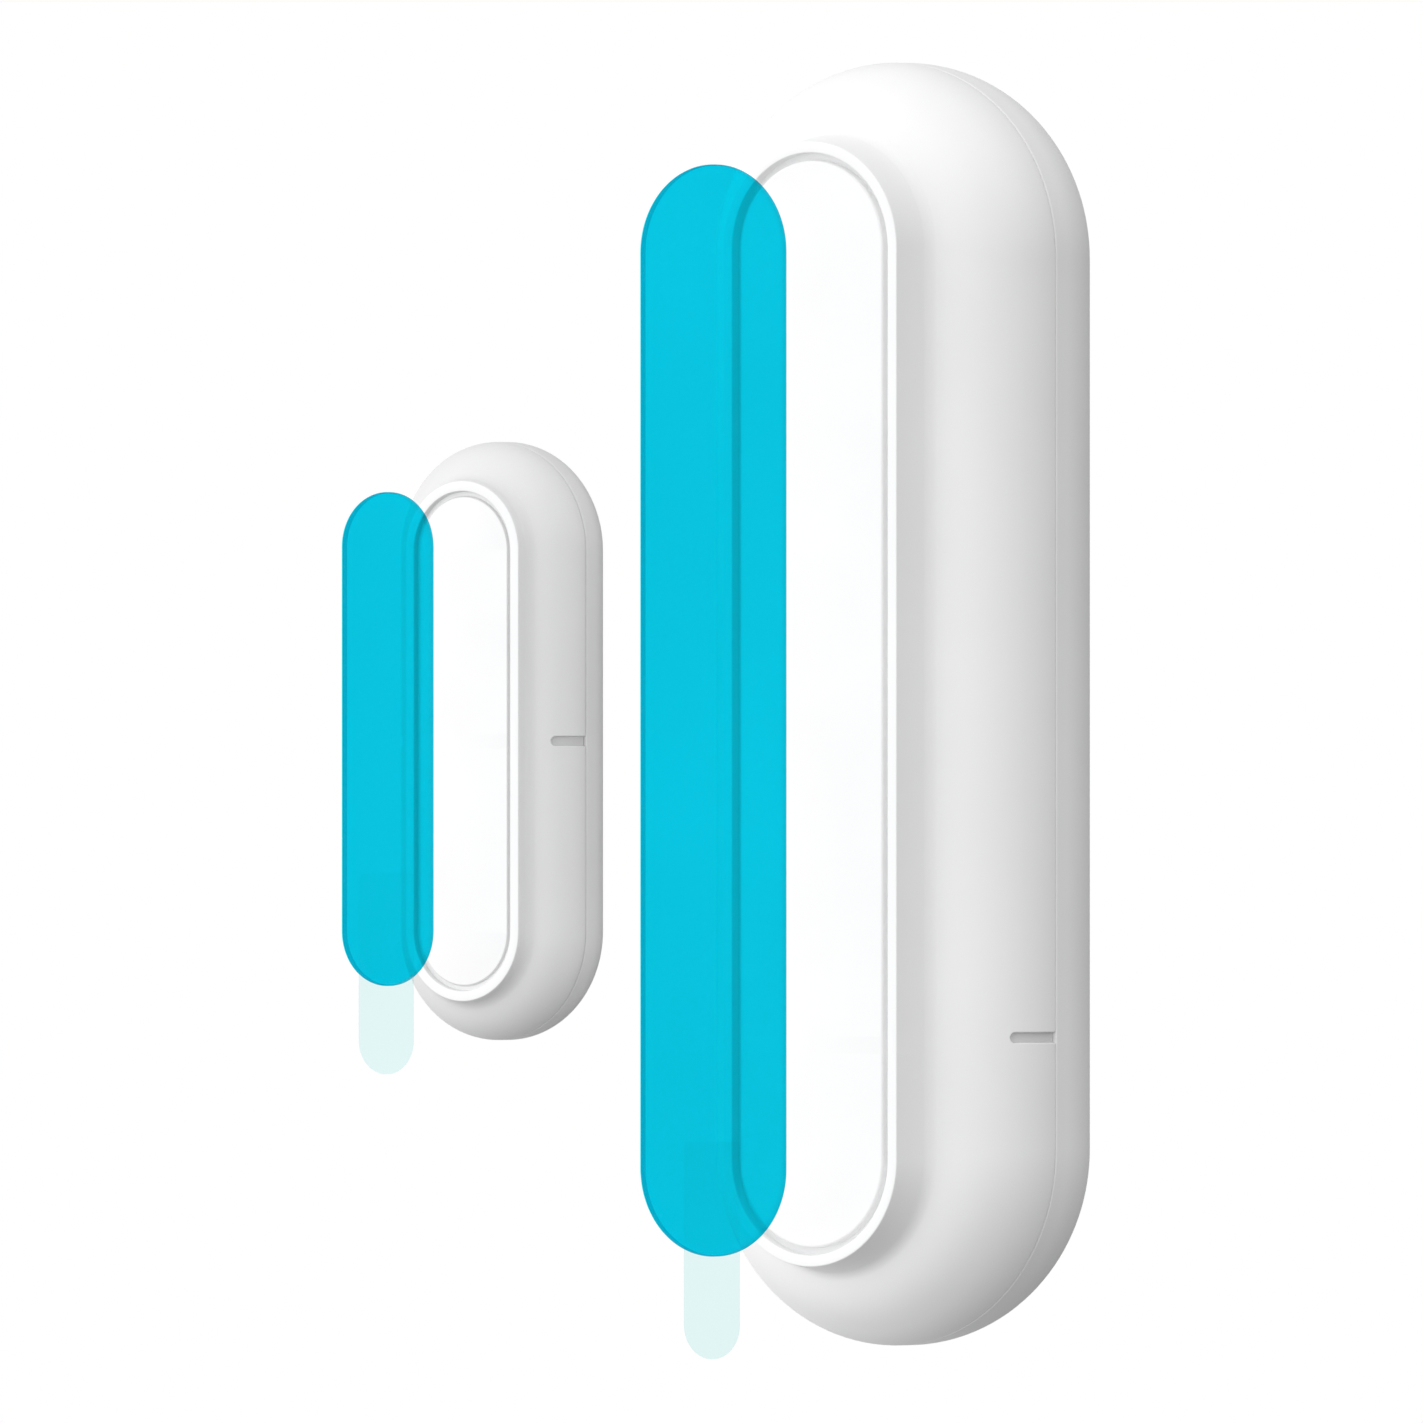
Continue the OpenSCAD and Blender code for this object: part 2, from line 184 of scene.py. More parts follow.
def pill_mesh(name, rows, columns, side_count, place, sink=None, towards=None, floor=0.0):
    """A closed mesh swept round a pill. rows are (across, depth, half straight) in mm,
    from the middle of one face round the edge to the middle of the other. sink(row,
    z) is how far a point of the straight flanks is pushed in, towards a point; faces
    that are pushed in as far as floor take the second material, which paints shade
    into the floor of a side mark."""
    count = len(columns)
    points, pushed = [], []
    for i, (w, d, h) in enumerate(rows):
        for cos, sin, along in columns:
            z = h * along + w * sin
            ww, dd, push = w, d, 0.0
            if sink is not None and sin == 0:
                push = sink(i, z)
                share = push / math.hypot(w - towards[0], d - towards[1])
                ww, dd = w - share * (w - towards[0]), d - share * (d - towards[1])
            points.append((ww * cos, -dd, z))
            pushed.append(push)
    faces = [(i * count + j, i * count + (j + 1) % count,
              (i + 1) * count + (j + 1) % count, (i + 1) * count + j)
             for i in range(len(rows) - 1) for j in range(count)]
    caps = (count - 2 * side_count) // 2
    faces += ladder(0, count, side_count, caps)
    faces += ladder((len(rows) - 1) * count, count, side_count, caps)
    mesh = bpy.data.meshes.new(name)
    mesh.from_pydata([Vector(p) * MM + place for p in points], [], faces)
    # faces sunk past floor take the second material, the painted shade of a side mark's floor
    if sink is not None:
        for polygon in mesh.polygons:
            sunk = min(pushed[v] for v in polygon.vertices) > floor
            polygon.material_index = 1 if sunk else 0
    return finish_mesh(name, mesh)


def finish_mesh(name, mesh):
    """Turns a mesh into an object with outward normals and smooth shading."""
    work = bmesh.new()
    work.from_mesh(mesh)
    bmesh.ops.recalc_face_normals(work, faces=work.faces)
    work.to_mesh(mesh)
    work.free()
    for polygon in mesh.polygons:
        polygon.use_smooth = True
    mesh.set_sharp_from_angle(angle=math.radians(SHARP_ANGLE))
    thing = bpy.data.objects.new(name, mesh)
    bpy.context.collection.objects.link(thing)
    weighted = thing.modifiers.new("even_normals", "WEIGHTED_NORMAL")
    weighted.keep_sharp = True
    return thing


def smooth(t):
    """0 to 1 with no corner at either end."""
    t = min(max(t, 0.0), 1.0)
    return t * t * (3 - 2 * t)


# ---- housings ---------------------------------------------------------------

def measure(unit):
    """Adds what the frame says about a unit: its place and its outer size, in mm."""
    low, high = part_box(unit["back"])
    cover_low, cover_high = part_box(unit["front"])
    pad = next(m for m in frame["record"]["mounts"] if m["name"] == unit["pad"])
    unit["place"] = Vector(pad["pos_m"])
    pad_y = pad["pos_m"][1]
    unit["r"] = (high[0] - low[0]) / 2 / MM - HAIR
    unit["h"] = (high[2] - low[2]) / 2 / MM - HAIR - unit["r"]
    unit["rim"] = (pad_y - high[1]) / MM
    unit["split"] = (pad_y - low[1]) / MM
    unit["depth"] = (pad_y - cover_low[1]) / MM - HAIR
    unit["lip_end"] = (pad_y - cover_high[1]) / MM


def back_shell(name, unit):
    """Back shell: pad, groove, rim, concave foot, round shoulder, side marks, inside.
    The foot is an arc that meets the drafted wall of the rim and the shoulder's arc."""
    r, split, sr, fr = unit["r"], unit["split"], unit["shoulder_r"], unit["fillet_r"]
    rim_r, rim_h, wall = unit["rim_r"], unit["rim_h"], unit["wall"]
    sw = r - sr
    draft = math.radians(unit["draft"])
    foot_w, foot_d = rim_r + fr, 0.0
    # the foot's centre and the wall's end depend on each other: repeating settles them
    for _ in range(8):
        wall_end = foot_d + fr * math.sin(draft)
        foot_w = rim_r + fr * math.cos(draft) + (wall_end - unit["rim"]) * math.tan(draft)
        foot_d = split - math.sqrt((sr + fr) ** 2 - (foot_w - sw) ** 2)
    meet = math.degrees(math.atan2(split - foot_d, foot_w - sw))

    face = rounded([
        (MIDDLE, 0, 0), (unit["pad_r"], 0, unit["pad_edge"]),
        (unit["pad_r"], unit["moat"], GROOVE_EDGE),
        (unit["recess_r"], unit["moat"], GROOVE_EDGE),
        (unit["recess_r"], unit["rim"], RIM_EDGE),
        (rim_r, unit["rim"], RIM_OUTER_EDGE),
        (foot_w - fr * math.cos(draft), foot_d + fr * math.sin(draft), 0)])
    foot = arc(foot_w, foot_d, fr, 180 - unit["draft"], 180 - meet, 14)[1:]
    length = math.radians(meet) * sr
    edge_angle = math.degrees(SEAM_EDGE / sr)
    # rows of the shoulder by arc length from the seam, closer together at a mark's end
    fine = set(np.linspace(unit["mark_len"] - 1.1, unit["mark_len"] + 0.25, 28))
    along = sorted(fine | set(np.linspace(SEAM_EDGE, length, 30)), reverse=True)
    along = [a for a in along if a < length - 0.02]
    shoulder = [arc(sw, split, sr, -math.degrees(a / sr), 0, 1)[0] for a in along]
    turn = arc(r - SEAM_EDGE, split - SEAM_EDGE, SEAM_EDGE, -edge_angle * 0.5, 90, 5)[1:]
    inner_r = sr - wall
    hollow = arc(sw, split, inner_r, 0, -70, 14)
    hollow = [(r - 0.5, split), (r - wall, split)] + hollow[1:] + [
        (sw, split - inner_r), (rim_r - wall, split - inner_r),
        (rim_r - wall, wall + INNER_FLOOR), (MIDDLE, wall + INNER_FLOOR)]

    rows, marks = [], []
    for p in face:
        rows.append((*p, rim_h))
        marks.append(None)
    flank = foot + shoulder
    steps = [math.dist(p, q) for p, q in zip(flank, flank[1:])]
    travel = np.cumsum([0.0] + steps) / sum(steps)
    for i, p in enumerate(flank):
        rows.append((*p, rim_h + (unit["h"] - rim_h) * smooth(travel[i] / ENDS_SHARE)))
        marks.append(None if i < len(foot) else (along[i - len(foot)], 1.0))
    for p in turn:
        rows.append((*p, unit["h"]))
        marks.append((0.0, 1 - (r - p[0]) / unit["mark_d"]))
    for p in hollow:
        rows.append((*p, unit["h"]))
        marks.append(None)

    half_w = unit["mark_w"] / 2
    end = unit["mark_len"] - half_w

    def sink(i, z):
        """How deep the side mark is at a row and height: a slot with a round end."""
        if marks[i] is None:
            return 0.0
        s, weight = marks[i]
        away = math.hypot(max(0.0, s - end), z - unit["mark_z"]) - half_w
        return unit["mark_d"] * weight * (1 - smooth((away / MARK_SOFT + 1) / 2))

    columns, sides = loop_columns(unit["mark_z"], half_w + 0.2, unit["h"])
    # faces of a mark sunk past MARK_FLOOR of its depth get the second material, a painted
    # shade
    return pill_mesh(name, rows, columns, sides, unit["place"], sink, (sw, split),
                     MARK_FLOOR * unit["mark_d"])


def front_cover(name, unit):
    """Front cover: flat crowned front, round edge, seam edge, locating lip, inside."""
    r, depth, er, wall = unit["r"], unit["depth"], unit["front_r"], unit["wall"]
    seam = unit["split"] + SEAM_GAP
    lip_in, lip_out = unit["lip"]
    outer = [(MIDDLE, depth)] + arc(r - er, depth - er, er, 90, 0, 40)
    edge = arc(r - SEAM_EDGE, seam + SEAM_EDGE, SEAM_EDGE, 0, -90, 5)
    inside = rounded([
        (r - SEAM_EDGE - 0.01, seam, 0), (lip_out, seam, 0),
        (lip_out, unit["lip_end"], LIP_EDGE), (lip_in, unit["lip_end"], LIP_EDGE),
        (lip_in, depth - er, 0), (r - wall, depth - er, 0)])
    hollow = arc(r - er, depth - er, er - wall, 0, 90, 16)[1:] + [(MIDDLE, depth - wall)]
    rows = [(*p, unit["h"]) for p in outer + edge + inside + hollow]
    columns, sides = loop_columns()
    return pill_mesh(name, rows, columns, sides, unit["place"])


def drill(target, node, radius):
    """Cuts a round hole through target where a CAD node passes through it."""
    low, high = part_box(node)
    middle = (Vector(low) + Vector(high)) / 2
    work = bmesh.new()
    place = Matrix.Translation(middle) @ Matrix.Rotation(math.pi / 2, 4, "X")
    bmesh.ops.create_cone(work, cap_ends=True, segments=48, radius1=radius * MM,
                          radius2=radius * MM, depth=DRILL_LENGTH * MM, matrix=place)
    mesh = bpy.data.meshes.new("drill")
    work.to_mesh(mesh)
    work.free()
    bit = bpy.data.objects.new("drill", mesh)
    bpy.context.collection.objects.link(bit)
    cut = target.modifiers.new("hole", "BOOLEAN")
    cut.operation = "DIFFERENCE"
    cut.solver = "EXACT"
    cut.object = bit
    apply_modifier(target, cut)
    bpy.data.objects.remove(bit)


def apply_modifier(thing, modifier):
    """Puts one modifier first and applies it."""
    bpy.context.view_layer.objects.active = thing
    thing.select_set(True)
    while thing.modifiers[0] != modifier:
        bpy.ops.object.modifier_move_up(modifier=modifier.name)
    bpy.ops.object.modifier_apply(modifier=modifier.name)
    thing.select_set(False)


# ---- adhesive strips --------------------------------------------------------

def strip_plate(name, node, edge, inset=0.0):
    """A pill-shaped plate that fills a CAD node's box, less an inset all round."""
    low, high = (Vector(v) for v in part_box(node))
    place = Vector(((low.x + high.x) / 2, high.y, (low.z + high.z) / 2))
    r = (high.x - low.x) / 2 / MM
    h = (high.z - low.z) / 2 / MM - r
    thick = (high.y - low.y) / MM
    r -= inset
    outline = rounded([(MIDDLE, 0, 0), (r, 0, edge), (r, thick, edge), (MIDDLE, thick, 0)], 5)
    columns, sides = loop_columns()
    return pill_mesh(name, [(*p, h) for p in outline], columns, sides, place)


def tab_film(name, node, strip_node):
    """A film with a round lower end. Where the strip's round end covers it, it is
    bonded to the strip and takes the second material."""
    low, high = (Vector(v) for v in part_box(node))
    strip_low, strip_high = (Vector(v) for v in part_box(strip_node))
    r, x = (high.x - low.x) / 2, (high.x + low.x) / 2
    strip_r = (strip_high.x - strip_low.x) / 2
    strip_z = strip_low.z + strip_r
    across = [r * math.cos(a) for a in np.linspace(0, math.pi, 33)]
    top = [(x + w, high.z) for w in (r, -r)]
    seam = [(x + w, strip_z - math.sqrt(strip_r ** 2 - w ** 2)) for w in across]
    tip = [(x + w, low.z + r - math.sqrt(max(0.0, r ** 2 - w ** 2))) for w in across]
    y0, y1 = low.y, high.y - TAB_STANDOFF * MM
    work = bmesh.new()
    sides = []
    for y in (y1, y0):
        rows = [[work.verts.new((px, y, pz)) for px, pz in row] for row in (top, seam, tip)]
        for upper, lower, slot in ((rows[0], rows[1], 1), (rows[1], rows[2], 0)):
            work.faces.new(upper[::-1] + lower).material_index = slot
        sides.append(rows)
    for near, far in zip(*sides):
        pairs = list(zip(near, far))
        # the middle row is the seam inside the film, which has no edge of its own
        edge = pairs if near is not sides[0][1] else []
        for (a, b), (c, d) in zip(edge, edge[1:]):
            work.faces.new((a, b, d, c))
    # the two straight flanks, along the strip's end and below it
    for end in (0, -1):
        for i in (0, 1):
            a, b = sides[0][i][end], sides[1][i][end]
            c, d = sides[0][i + 1][end], sides[1][i + 1][end]
            work.faces.new((a, b, d, c)).material_index = 1 - i
    mesh = bpy.data.meshes.new(name)
    work.to_mesh(mesh)
    work.free()
    return finish_mesh(name, mesh)


# ---- materials --------------------------------------------------------------

def material(name):
    """A new material with its principled shader, ready for textures."""
    made = bpy.data.materials.new(name)
    made.use_nodes = True
    tree = made.node_tree
    tree.nodes.clear()
    output = tree.nodes.new("ShaderNodeOutputMaterial")
    shader = tree.nodes.new("ShaderNodeBsdfPrincipled")
    tree.links.new(shader.outputs["BSDF"], output.inputs["Surface"])
    return made, tree, shader, output


def noise(tree, scale, detail=2.0, stretch=(1, 1, 1)):
    """A noise texture in the object's own coordinates, in metres."""
    coords = tree.nodes.new("ShaderNodeTexCoord")
    mapping = tree.nodes.new("ShaderNodeMapping")
    mapping.inputs["Scale"].default_value = stretch
    texture = tree.nodes.new("ShaderNodeTexNoise")
    texture.inputs["Scale"].default_value = scale
    texture.inputs["Detail"].default_value = detail
    tree.links.new(coords.outputs["Object"], mapping.inputs["Vector"])
    tree.links.new(mapping.outputs["Vector"], texture.inputs["Vector"])
    return texture.outputs["Fac"]


def spread(tree, value, low, high, from_low=0.3, from_high=0.7):
    """Maps a texture's middle range to low..high."""
    node = tree.nodes.new("ShaderNodeMapRange")
    node.inputs["From Min"].default_value = from_low
    node.inputs["From Max"].default_value = from_high
    node.inputs["To Min"].default_value = low
    node.inputs["To Max"].default_value = high
    tree.links.new(value, node.inputs["Value"])
    return node.outputs["Result"]


def blend_colour(tree, value, first, second):
    """A colour between two, by a value from 0 to 1."""
    node = tree.nodes.new("ShaderNodeMix")
    node.data_type = "RGBA"
    node.inputs["A"].default_value = (*first, 1)
    node.inputs["B"].default_value = (*second, 1)
    tree.links.new(value, node.inputs["Factor"])
    return node.outputs["Result"]


def bump(tree, shader, height, strength, distance):
    """Relief from a height from 0 to 1, distance deep in metres."""
    node = tree.nodes.new("ShaderNodeBump")
    node.inputs["Strength"].default_value = strength
    node.inputs["Distance"].default_value = distance
    tree.links.new(height, node.inputs["Height"])
    tree.links.new(node.outputs["Normal"], shader.inputs["Normal"])


def surface(name, light, dark, rough, patch=120, grain=6000, grain_depth=4e-6,
            metallic=0.0, stretch=(1, 1, 1), strength=0.3, gloss=0.5):
    """A solid surface: drifting colour and roughness, and a fine grain in relief."""
    made, tree, shader, _ = material(name)
    drift = spread(tree, noise(tree, patch, 3.0), 0, 1)
    tree.links.new(blend_colour(tree, drift, light, dark), shader.inputs["Base Color"])
    fine = noise(tree, grain, 3.0, stretch)
    tree.links.new(spread(tree, noise(tree, patch * 7, 3.0, stretch), *rough),
                   shader.inputs["Roughness"])
    shader.inputs["Metallic"].default_value = metallic
    shader.inputs["Specular IOR Level"].default_value = gloss
    bump(tree, shader, fine, strength, grain_depth)
    return made


def film(name, tint, rough, gloss):
    """A clear tinted film. What is behind it shows through, tinted at each face."""
    patch, ripple = 90, 2e-5
    made, tree, shader, output = material(name)
    shader.inputs["Base Color"].default_value = (*tint, 1)
    tree.links.new(spread(tree, noise(tree, patch * 5), rough * 0.8, rough * 1.3),
                   shader.inputs["Roughness"])
    bump(tree, shader, noise(tree, patch, 2.0), 0.25, ripple)
    clear = tree.nodes.new("ShaderNodeBsdfTransparent")
    drift = spread(tree, noise(tree, patch * 0.5), 0, 1)
    deeper = tuple(c * 0.985 for c in tint)
    tree.links.new(blend_colour(tree, drift, tint, deeper), clear.inputs["Color"])
    mix = tree.nodes.new("ShaderNodeMixShader")
    mix.inputs["Fac"].default_value = gloss
    tree.links.new(clear.outputs["BSDF"], mix.inputs[1])
    tree.links.new(shader.outputs["BSDF"], mix.inputs[2])
    tree.links.new(mix.outputs["Shader"], output.inputs["Surface"])
    return made


WHITE = surface("white_abs", (0.9, 0.9, 0.9), (0.88, 0.88, 0.882), (0.36, 0.46),
                gloss=0.3)
# painted shade: a greyer copy of the same white plastic for the magnet unit's flank and
# cover, standing in for the shade on them
MAGNET_WHITE_SHADED = surface("white_abs_painted_shade", (0.75, 0.75, 0.75), (0.73, 0.73, 0.732),
                      (0.36, 0.46), gloss=0.3)
# painted shade: a grey for the floor of the sensor's side marks, standing in for the shade
# deep in each mark
SIDE_MARK_SHADE = surface("side_mark_painted_shade", (0.66, 0.66, 0.66), (0.64, 0.64, 0.642), (0.5, 0.6),
               gloss=0.3)
# painted shade: a still greyer floor for the magnet's side marks, the marks' shade and the
# magnet's painted shade together
MAGNET_MARK_SHADE = surface("magnet_mark_painted_shade", (0.62, 0.62, 0.62), (0.6, 0.6, 0.602),
                     (0.5, 0.6), gloss=0.3)
CHASSIS = surface("grey_abs", (0.62, 0.63, 0.64), (0.56, 0.57, 0.58), (0.5, 0.6))
BLACK = surface("black_compound", (0.03, 0.03, 0.032), (0.045, 0.045, 0.045), (0.5, 0.7),
                grain=9000, grain_depth=8e-6)
NICKEL = surface("bright_nickel", (0.75, 0.74, 0.72), (0.68, 0.67, 0.65), (0.16, 0.3),
                 metallic=1.0, grain=5000, stretch=(1, 1, 0.06))
TIN = surface("tinned_steel", (0.66, 0.66, 0.65), (0.55, 0.55, 0.54), (0.28, 0.45),
              metallic=1.0, grain=7000, grain_depth=5e-6)
GOLD = surface("gold_flash", (0.86, 0.66, 0.32), (0.78, 0.57, 0.26), (0.2, 0.34),
               metallic=1.0, grain=5000)
SLEEVE = surface("cell_sleeve", (0.08, 0.17, 0.4), (0.06, 0.13, 0.34), (0.2, 0.3),
                 patch=200, grain=700, grain_depth=1.5e-5)
CERAMIC = surface("chip_ceramic", (0.5, 0.38, 0.27), (0.42, 0.31, 0.22), (0.5, 0.65))
FOAM = surface("foam", (0.12, 0.12, 0.13), (0.06, 0.06, 0.065), (0.85, 0.95),
               patch=2500, grain=3500, grain_depth=1.2e-4, strength=0.9)
LENS = surface("led_lens", (0.85, 0.88, 0.7), (0.8, 0.83, 0.66), (0.25, 0.35))


def circuit(name):
    """Green solder mask over copper tracks, which stand up a little."""
    made, tree, shader, _ = material(name)
    coords = tree.nodes.new("ShaderNodeTexCoord")
    tracks = tree.nodes.new("ShaderNodeTexVoronoi")
    tracks.distance = "MANHATTAN"
    tracks.feature = "F1"
    tracks.inputs["Scale"].default_value = 420
    tree.links.new(coords.outputs["Object"], tracks.inputs["Vector"])
    rings = tree.nodes.new("ShaderNodeMath")
    rings.operation = "PINGPONG"
    rings.inputs[1].default_value = 0.12
    tree.links.new(tracks.outputs["Distance"], rings.inputs[0])
    track = spread(tree, rings.outputs[0], 0, 1, 0.055, 0.065)
    drift = spread(tree, noise(tree, 260, 3.0), 0, 0.5)
    mask = blend_colour(tree, drift, (0.012, 0.16, 0.06), (0.008, 0.12, 0.045))
    mix = tree.nodes.new("ShaderNodeMix")
    mix.data_type = "RGBA"
    mix.inputs["B"].default_value = (0.03, 0.26, 0.1, 1)
    tree.links.new(mask, mix.inputs["A"])
    tree.links.new(track, mix.inputs["Factor"])
    tree.links.new(mix.outputs["Result"], shader.inputs["Base Color"])
    tree.links.new(spread(tree, noise(tree, 900, 2.0), 0.25, 0.4), shader.inputs["Roughness"])
    bump(tree, shader, track, 0.4, 3e-5)
    return made


def clear(name, tint, rough, ior, clarity=1.0):
    """Clear or frosted glass or plastic, with faint ripples in it."""
    made, tree, shader, _ = material(name)
    shader.inputs["Base Color"].default_value = (*tint, 1)
    shader.inputs["Transmission Weight"].default_value = clarity
    shader.inputs["IOR"].default_value = ior
    tree.links.new(spread(tree, noise(tree, 1500), rough * 0.7, rough * 1.4),
                   shader.inputs["Roughness"])
    bump(tree, shader, noise(tree, 700, 2.0), 0.2, 1e-5)
    return made


BOARD = circuit("solder_mask")
GLASS = clear("reed_glass", (0.86, 0.96, 0.9), 0.03, 1.47)
PIPE = clear("pipe_acrylic", (0.86, 0.89, 0.9), 0.3, 1.49, 0.25)


# ---- making the pieces ------------------------------------------------------

def put(thing, body, nodes, slot, *materials):
    """Puts a piece on the body it rides on, hides the nodes it replaces and gives it its
    materials. slot is not used.
    """
    for m in materials:
        thing.data.materials.append(m)
    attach(thing, body)
    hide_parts(*nodes)
    return thing


def ghost(thing):
    """A clear film: it neither shades nor tints what stands behind it."""
    thing.visible_shadow = False
    thing.visible_diffuse = False


for unit in (SENSOR, MAGNET):
    measure(unit)

put(back_shell("sensor_back_housing", SENSOR), "sensor_housing",
    ["sensor_back_shell"], "white_shell", WHITE, SIDE_MARK_SHADE)
sensor_cover = front_cover("sensor_cover_moulding", SENSOR)
drill(sensor_cover, "light_pipe", 1.05)
put(sensor_cover, "sensor_cover", ["sensor_front_cover"], "white_shell", WHITE)
magnet_shell = put(back_shell("magnet_back_housing", MAGNET), "magnet_unit",
                   ["magnet_back_shell"], "white_shell", MAGNET_WHITE_SHADED, MAGNET_MARK_SHADE, WHITE)
# painted shade: the magnet shell is grey save its back faces near the pad, which keep the
# plain white
for polygon in magnet_shell.data.polygons:
    if polygon.normal.y > FLAT and polygon.center.y > -PAD_ZONE * MM:
        polygon.material_index = 2
# the magnet's cover also takes the painted shade grey
put(front_cover("magnet_cover_moulding", MAGNET), "magnet_cover",
    ["magnet_front_cover"], "white_shell", MAGNET_WHITE_SHADED)

BLUE = film("blue_adhesive", (0.02, 0.83, 0.93), 0.12, 0.04)
BLUE_EDGE = film("blue_edge", (0.02, 0.6, 0.72), 0.3, 0.1)
LINER = film("blue_liner", (0.02, 0.88, 0.93), 0.08, 0.03)
MINT = film("mint_film", (0.876, 0.962, 0.962), 0.15, 0.03)
BONDED = film("bonded_film", (0.99, 0.995, 0.995), 0.15, 0.0)

for unit_name in ("sensor", "magnet"):
    core = strip_plate(unit_name + "_stretch_strip", unit_name + "_strip", STRIP_EDGE)
    put(core, unit_name + "_adhesive", [unit_name + "_strip"], "blue_adhesive",
        BLUE, BLUE_EDGE)
    for polygon in core.data.polygons:
        if abs(polygon.normal.y) < FLAT:
            polygon.material_index = 1
    skin = strip_plate(unit_name + "_release_skin", unit_name + "_liner",
                       LINER_EDGE, LINER_INSET)
    put(skin, unit_name + "_release_film", [unit_name + "_liner"], "blue_liner", LINER)
    tab = tab_film(unit_name + "_tab_film", unit_name + "_pull_tab", unit_name + "_strip")
    put(tab, unit_name + "_adhesive", [unit_name + "_pull_tab"], "mint_film", MINT, BONDED)
    for thing in (core, skin, tab):
        ghost(thing)

FINISH = {
    "inner_chassis": CHASSIS, "board_screws": TIN, "battery_can": NICKEL,
    "battery_sleeve": SLEEVE, "battery_spring": GOLD, "battery_contact": GOLD,
    "reed_fixed_blade": NICKEL, "reed_lead": NICKEL, "reed_moving_blade": NICKEL,
    "radio_shield": TIN, "processor_chip": BLACK, "crystal": TIN,
    "stamped_antenna": GOLD, "capacitors": CERAMIC, "resistors": BLACK,
    "status_led": LENS, "setup_switch": BLACK, "setup_plunger": BLACK,
    "magnet_cradle": CHASSIS, "bar_magnet": NICKEL, "magnet_foam": FOAM,
    "circuit_board": BOARD, "reed_glass": GLASS, "light_pipe": PIPE,
}
SOFT_EDGES = {
    "inner_chassis": 0.12, "battery_contact": 0.04, "radio_shield": 0.1,
    "processor_chip": 0.04, "crystal": 0.12, "capacitors": 0.05, "resistors": 0.03,
    "setup_switch": 0.06, "magnet_cradle": 0.1, "bar_magnet": 0.12, "magnet_foam": 0.15,
    "circuit_board": 0.05, "light_pipe": 0.08,
}
for node, finish in FINISH.items():
    thing = frame["nodes"][node]
    thing.data.materials.clear()
    thing.data.materials.append(finish)
    if node in SOFT_EDGES:
        edge = thing.modifiers.new("soft_edge", "BEVEL")
        edge.width = SOFT_EDGES[node] * MM
        edge.segments = 2
        edge.limit_method = "ANGLE"
        edge.angle_limit = math.radians(BEVEL_ANGLE)
        edge.harden_normals = True


# ---- light, floor and camera ------------------------------------------------

VIEW_AZIMUTH = math.radians(216)
TO_CAMERA = Vector((math.sin(VIEW_AZIMUTH), -math.cos(VIEW_AZIMUTH), 0))
SCREEN_LEFT = Vector((TO_CAMERA.y, -TO_CAMERA.x, 0))
FRAME_WIDTH = 99.44 * MM
LENS_MM, SENSOR_MM = 800, 36
AIM_LEFT, AIM_BELOW = 6.85, 0.52          # from the middle of the sensor's rim
FLOOR_DROP, FLOOR_RADIUS = 0.05, 1.0      # in metres
FLOOR_PAPER = surface("floor_paper", (0.8, 0.8, 0.8), (0.78, 0.78, 0.78), (0.7, 0.85),
                      patch=8, grain=900, grain_depth=2e-5)


def camera():
    """A long lens, level with the object, aimed a little to the side of the sensor."""
    data = bpy.data.cameras.new("camera")
    data.lens = LENS_MM
    data.sensor_width = SENSOR_MM
    data.clip_start = 0.05
    data.clip_end = 20
    thing = bpy.data.objects.new("camera", data)
    bpy.context.collection.objects.link(thing)
    rim = Vector(SENSOR["place"]) + Vector((0, -SENSOR["rim"] * MM, 0))
    target = rim + SCREEN_LEFT * AIM_LEFT * MM + Vector((0, 0, -AIM_BELOW * MM))
    thing.location = target + TO_CAMERA * (FRAME_WIDTH / SENSOR_MM * LENS_MM)
    thing.rotation_mode = "QUATERNION"
    thing.rotation_quaternion = (-TO_CAMERA).to_track_quat("-Z", "Y")
    bpy.context.scene.camera = thing


GLOWS = [
    ((1, 1, -1), 4, 0.75), ((1, 1, 0), 4, 0.75), ((1, 1, 1), 4, 0.7),
    ((-1, 0, 0), 4, 0.65), ((0, 1, 1), 4, 0.6), ((0, 1, 0), 4, 0.55),
    ((-1, 0, 1), 4, 0.5), ((-1, 0, 1), 12, 0.25), ((0, 0, 1), 4, 0.35),
    ((-1, 1, 1), 4, 0.15), ((1, -1, 1), 4, 0.35), ((1, -1, -1), 4, 0.3),
    ((4, -3, 0), 8, 0.7),
]


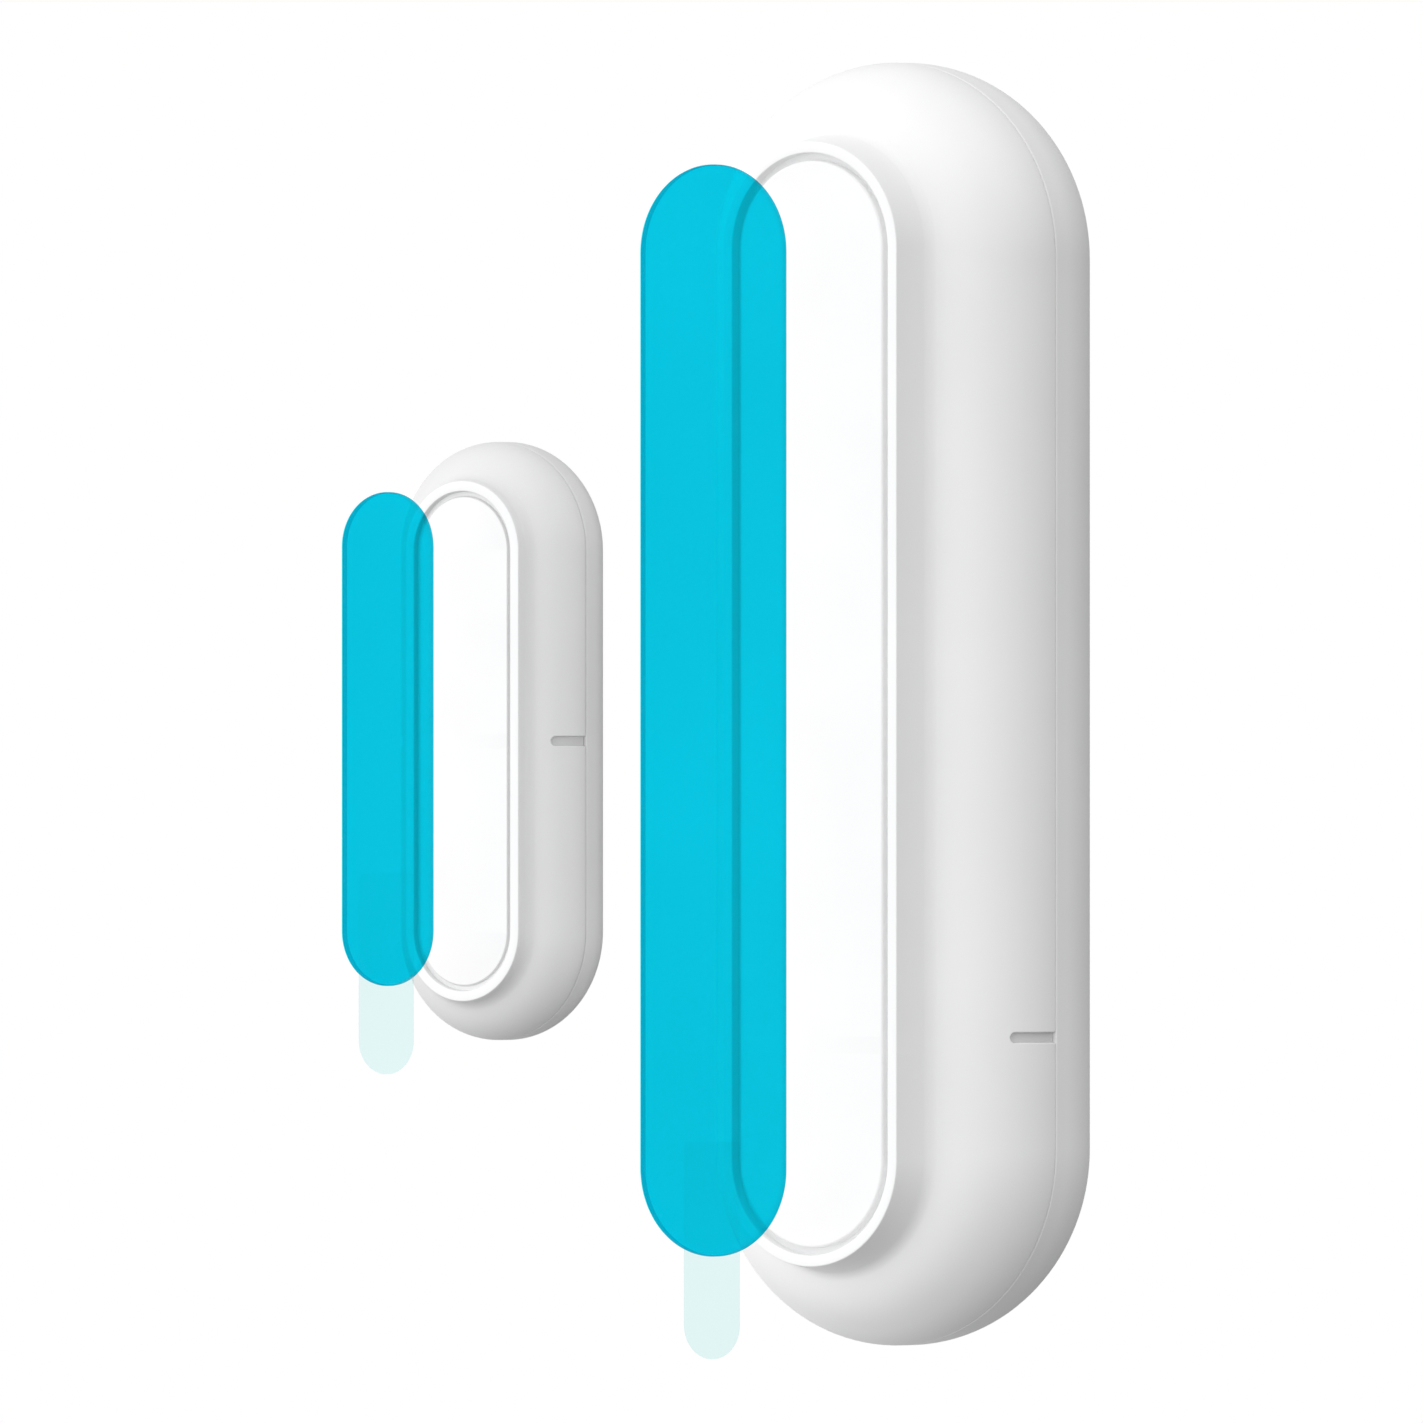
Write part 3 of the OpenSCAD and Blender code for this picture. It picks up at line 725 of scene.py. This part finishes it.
def world_light():
    """Soft lights all round: each glow has a direction, a sharpness and a strength.
    The camera sees plain white behind the object."""
    world = bpy.data.worlds.new("studio")
    bpy.context.scene.world = world
    world.use_nodes = True
    tree = world.node_tree
    tree.nodes.clear()

    def calculate(operation, first, second=None):
        node = tree.nodes.new("ShaderNodeMath")
        node.operation = operation
        for value, socket in ((first, node.inputs[0]), (second, node.inputs[1])):
            if isinstance(value, (int, float)):
                socket.default_value = value
            elif value is not None:
                tree.links.new(value, socket)
        return node.outputs[0]

    coords = tree.nodes.new("ShaderNodeTexCoord")
    total = 0.0
    for direction, sharpness, strength in GLOWS:
        dot = tree.nodes.new("ShaderNodeVectorMath")
        dot.operation = "DOT_PRODUCT"
        dot.inputs[1].default_value = Vector(direction).normalized()
        tree.links.new(coords.outputs["Generated"], dot.inputs[0])
        away = calculate("SUBTRACT", dot.outputs["Value"], 1.0)
        glow = calculate("EXPONENT", calculate("MULTIPLY", away, sharpness))
        total = calculate("ADD", calculate("MULTIPLY", glow, strength), total)
    output = tree.nodes.new("ShaderNodeOutputWorld")
    lit = tree.nodes.new("ShaderNodeBackground")
    seen = tree.nodes.new("ShaderNodeBackground")
    for background in (lit, seen):
        background.inputs["Color"].default_value = (1, 1, 1, 1)
    tree.links.new(total, lit.inputs["Strength"])
    path = tree.nodes.new("ShaderNodeLightPath")
    mix = tree.nodes.new("ShaderNodeMixShader")
    tree.links.new(path.outputs["Is Camera Ray"], mix.inputs["Fac"])
    tree.links.new(lit.outputs["Background"], mix.inputs[1])
    tree.links.new(seen.outputs["Background"], mix.inputs[2])
    tree.links.new(mix.outputs["Shader"], output.inputs["Surface"])


def floor():
    """A round pale floor, far enough below the object to stay out of the front view."""
    low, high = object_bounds()
    middle = Vector(((low[0] + high[0]) / 2, (low[1] + high[1]) / 2, low[2] - FLOOR_DROP))
    work = bmesh.new()
    bmesh.ops.create_circle(work, cap_ends=True, segments=96, radius=FLOOR_RADIUS,
                            matrix=Matrix.Translation(middle))
    mesh = bpy.data.meshes.new("floor")
    work.to_mesh(mesh)
    work.free()
    thing = bpy.data.objects.new("floor", mesh)
    bpy.context.collection.objects.link(thing)
    mesh.materials.append(FLOOR_PAPER)
    thing.visible_diffuse = False
    thing.visible_glossy = False
    thing.visible_shadow = False
    thing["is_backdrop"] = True


camera()
world_light()
floor()
bpy.context.scene.view_settings.view_transform = "Standard"
